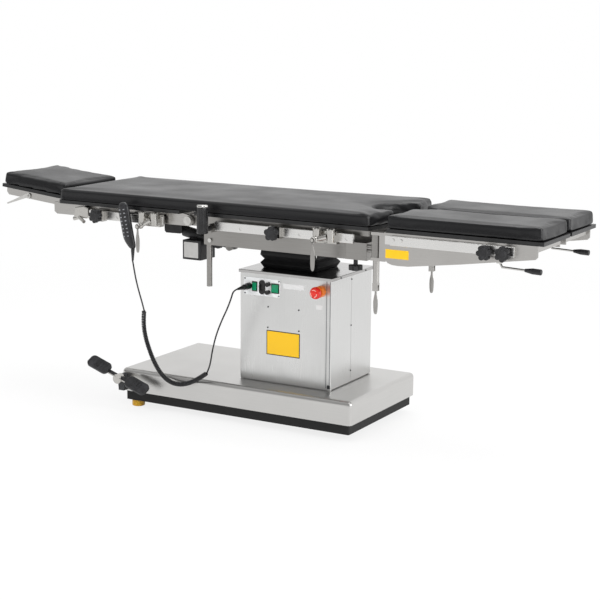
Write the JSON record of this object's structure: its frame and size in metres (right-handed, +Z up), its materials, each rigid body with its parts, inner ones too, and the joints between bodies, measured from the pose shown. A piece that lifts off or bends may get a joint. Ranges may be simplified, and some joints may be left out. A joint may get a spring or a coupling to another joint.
{
  "type": "operating table",
  "caption": "Electric operating table with a padded sectioned top on a lifting column and a steel base, side rails, split leg sections and a wired hand control.",
  "frame": {"origin": "middle of the table's length and width, on the floor", "axes": "+X towards the leg end, +Y to the side away from the control panel, +Z up"},
  "size_m": [2.1236, 0.6022, 0.7807],
  "materials": {
    "vinyl": "black vinyl over foam",
    "board": "black laminated board",
    "stainless": "brushed stainless steel",
    "plate": "darker brushed steel plate",
    "cabinet": "fine brushed sheet",
    "chassis": "dark painted steel",
    "bright": "polished steel",
    "cast": "satin cast metal",
    "rubber": "black rubber",
    "tyre": "grey castor tread",
    "foot": "amber moulded foot",
    "knob": "black moulded knob",
    "actuator": "black housing",
    "panel": "white panel",
    "switch": "green rocker",
    "stop": "red mushroom button",
    "cord": "black cord jacket",
    "handset": "black handset"
  },
  "bodies": {
    "base": {"base_cover": "stainless", "base_skirt": "chassis", "chassis_deck": "chassis", "cabinet_front_cover": "cabinet", "cabinet_rear_cover": "cabinet", "cabinet_lid": "stainless", "control_panel": "panel", "battery_and_control": "knob", "lift_column_outer": "chassis", "bellows": "rubber", "handset_plug": "handset", "handset_lead_upper": "cord", "handset_curl": "cord", "handset_lead_lower": "cord"},
    "stop_button": {"estop_button": "stop"},
    "rocker_left": {"rocker_switch_left": "switch"},
    "rocker_right": {"rocker_switch_right": "switch"},
    "pedal": {"floor_lock_pedal": "bright"},
    "feet": {"lock_feet": "foot"},
    "wheels_head": {"wheels_head_end": "tyre"},
    "wheels_leg": {"wheels_leg_end": "tyre"},
    "lift": {"lift_column_inner": "bright"},
    "cross": {"tilt_cross": "bright"},
    "seat": {"seat_frame": "plate", "seat_board": "board", "seat_pad": "vinyl", "torso_pad_fold": "vinyl", "seat_clamps": "cast"},
    "clamp_lever_near": {"seat_clamp_lever_near": "cast"},
    "clamp_lever_far": {"seat_clamp_lever_far": "cast"},
    "seat_knob": {"seat_star_knob": "knob"},
    "leg_lock": {"leg_lock_knob": "knob"},
    "crank": {"side_crank": "knob"},
    "back": {"back_frame": "stainless", "back_board": "board", "back_pad": "vinyl", "back_clamps": "cast", "handset": "handset"},
    "back_lever": {"back_clamp_lever": "cast"},
    "back_knob": {"back_star_knob": "knob"},
    "actuator": {"back_actuator": "actuator"},
    "actuator_rod": {"back_actuator_rod": "bright"},
    "head": {"head_frame": "stainless", "head_board": "board", "head_pad": "vinyl"},
    "head_release": {"head_lever": "bright"},
    "post_near": {"leg_post_near": "stainless"},
    "post_lever_near": {"leg_post_lever_near": "cast"},
    "leg_near": {"leg_frame_near": "stainless", "leg_board_near": "board", "leg_pad_near": "vinyl"},
    "leg_release_near": {"leg_lever_near": "bright"},
    "post_far": {"leg_post_far": "stainless"},
    "post_lever_far": {"leg_post_lever_far": "cast"},
    "leg_far": {"leg_frame_far": "stainless", "leg_board_far": "board", "leg_pad_far": "vinyl"},
    "leg_release_far": {"leg_lever_far": "bright"},
    "leg_knob_a": {"leg_star_knob_a": "knob"},
    "leg_knob_b": {"leg_star_knob_b": "knob"}
  },
  "joints": [
    {"name": "column_lift", "type": "slide", "parent": "base", "child": "lift", "axis": [0, 0, 1], "range_m": [0, 0.25], "deforming": ["bellows", "handset_lead_upper", "handset_curl"]},
    {"name": "trend_tilt", "type": "hinge", "parent": "lift", "child": "cross", "pos_m": [0.1318, 0, 0.65], "axis": [0, 1, 0], "range_deg": [-17, 18]},
    {"name": "side_tilt", "type": "hinge", "parent": "cross", "child": "seat", "pos_m": [0.1318, 0, 0.65], "axis": [-1, 0, 0], "range_deg": [-14, 14]},
    {"name": "back_raise", "type": "hinge", "parent": "seat", "child": "back", "pos_m": [-0.2042, 0, 0.675], "axis": [0, 1, 0], "range_deg": [-15, 65], "deforming": ["torso_pad_fold"]},
    {"name": "actuator_swing", "type": "hinge", "parent": "seat", "child": "actuator", "pos_m": [-0.1042, -0.1, 0.582], "axis": [0, 1, 0], "range_deg": [-8.5, 35]},
    {"name": "actuator_stroke", "type": "slide", "parent": "actuator", "child": "actuator_rod", "axis": [-0.9824, 0, 0.1867], "range_m": [-0.012, 0.05]},
    {"name": "head_tilt", "type": "hinge", "parent": "back", "child": "head", "pos_m": [-0.7612, 0, 0.678], "axis": [0, 1, 0], "range_deg": [-45, 20]},
    {"name": "head_release", "type": "hinge", "parent": "head", "child": "head_release", "pos_m": [-0.94383, -0.153, 0.70093], "axis": [0, 1, 0], "range_deg": [0, 10]},
    {"name": "crank_turn", "type": "hinge", "parent": "seat", "child": "crank", "pos_m": [-0.1072, -0.25, 0.659], "axis": [0, 1, 0], "range_deg": [-90, 90]},
    {"name": "seat_lever_near", "type": "hinge", "parent": "seat", "child": "clamp_lever_near", "pos_m": [0.3168, -0.292, 0.663], "axis": [0, 1, 0], "range_deg": [-90, 20]},
    {"name": "seat_lever_far", "type": "hinge", "parent": "seat", "child": "clamp_lever_far", "pos_m": [0.3168, 0.292, 0.663], "axis": [0, 1, 0], "range_deg": [-90, 20]},
    {"name": "back_lever", "type": "hinge", "parent": "back", "child": "back_lever", "pos_m": [-0.3592, -0.292, 0.652], "axis": [0, 1, 0], "range_deg": [-90, 20]},
    {"name": "seat_knob_turn", "type": "hinge", "parent": "seat", "child": "seat_knob", "pos_m": [0.1548, -0.256, 0.668], "axis": [0, -1, 0], "continuous": true},
    {"name": "back_knob_turn", "type": "hinge", "parent": "back", "child": "back_knob", "pos_m": [-0.5492, -0.256, 0.671], "axis": [0, -1, 0], "continuous": true},
    {"name": "leg_lock_turn", "type": "hinge", "parent": "seat", "child": "leg_lock", "pos_m": [0.4228, -0.2, 0.6], "axis": [0, 0, 1], "continuous": true},
    {"name": "stop_press", "type": "slide", "parent": "base", "child": "stop_button", "axis": [0, 1, 0], "range_m": [0, 0.005], "stiffness_N_per_m": 1500},
    {"name": "rocker_left_press", "type": "hinge", "parent": "base", "child": "rocker_left", "pos_m": [0.0148, -0.145, 0.462], "axis": [1, 0, 0], "range_deg": [-5, 5]},
    {"name": "rocker_right_press", "type": "hinge", "parent": "base", "child": "rocker_right", "pos_m": [0.0948, -0.145, 0.462], "axis": [1, 0, 0], "range_deg": [-5, 5]},
    {"name": "pedal_rock", "type": "hinge", "parent": "base", "child": "pedal", "pos_m": [-0.4612, -0.272, 0.108], "axis": [0, -1, 0], "range_deg": [0, 36]},
    {"name": "feet_lift", "type": "slide", "parent": "base", "child": "feet", "axis": [0, 0, 1], "range_m": [0, 0.008]},
    {"name": "wheels_head_roll", "type": "hinge", "parent": "base", "child": "wheels_head", "pos_m": [-0.3382, 0, 0.0385], "axis": [0, 1, 0], "continuous": true},
    {"name": "wheels_leg_roll", "type": "hinge", "parent": "base", "child": "wheels_leg", "pos_m": [0.2418, 0, 0.0385], "axis": [0, 1, 0], "continuous": true},
    {"name": "leg_spread_near", "type": "hinge", "parent": "seat", "child": "post_near", "pos_m": [0.5008, -0.21, 0.65], "axis": [0, 0, -1], "range_deg": [0, 90]},
    {"name": "leg_fold_near", "type": "hinge", "parent": "post_near", "child": "leg_near", "pos_m": [0.5278, -0.21, 0.634], "axis": [0, 1, 0], "range_deg": [-5, 90]},
    {"name": "leg_release_near", "type": "hinge", "parent": "leg_near", "child": "leg_release_near", "pos_m": [0.9168, -0.212, 0.652], "axis": [0, -1, 0], "range_deg": [0, 8]},
    {"name": "post_lever_near", "type": "hinge", "parent": "post_near", "child": "post_lever_near", "pos_m": [0.5008, -0.21, 0.514], "axis": [0, 1, 0], "range_deg": [-90, 0]},
    {"name": "leg_spread_far", "type": "hinge", "parent": "seat", "child": "post_far", "pos_m": [0.5008, 0.21, 0.65], "axis": [0, 0, 1], "range_deg": [0, 90]},
    {"name": "leg_fold_far", "type": "hinge", "parent": "post_far", "child": "leg_far", "pos_m": [0.5278, 0.21, 0.634], "axis": [0, -1, 0], "range_deg": [-90, 5]},
    {"name": "leg_release_far", "type": "hinge", "parent": "leg_far", "child": "leg_release_far", "pos_m": [0.9168, 0.212, 0.652], "axis": [0, -1, 0], "range_deg": [0, 8]},
    {"name": "post_lever_far", "type": "hinge", "parent": "post_far", "child": "post_lever_far", "pos_m": [0.5008, 0.21, 0.514], "axis": [0, -1, 0], "range_deg": [0, 90]},
    {"name": "leg_knob_a_turn", "type": "hinge", "parent": "leg_near", "child": "leg_knob_a", "pos_m": [0.8858, -0.243, 0.669], "axis": [0, -1, 0], "continuous": true},
    {"name": "leg_knob_b_turn", "type": "hinge", "parent": "leg_near", "child": "leg_knob_b", "pos_m": [0.9438, -0.243, 0.67], "axis": [0, -1, 0], "continuous": true}
  ],
  "couplings": [
    {"joint": "actuator_swing", "follows": "back_raise", "ratio": 0.526},
    {"joint": "actuator_stroke", "follows": "back_raise", "m_per_rad": 0.0435},
    {"joint": "feet_lift", "follows": "pedal_rock", "m_per_rad": 0.0127}
  ]
}
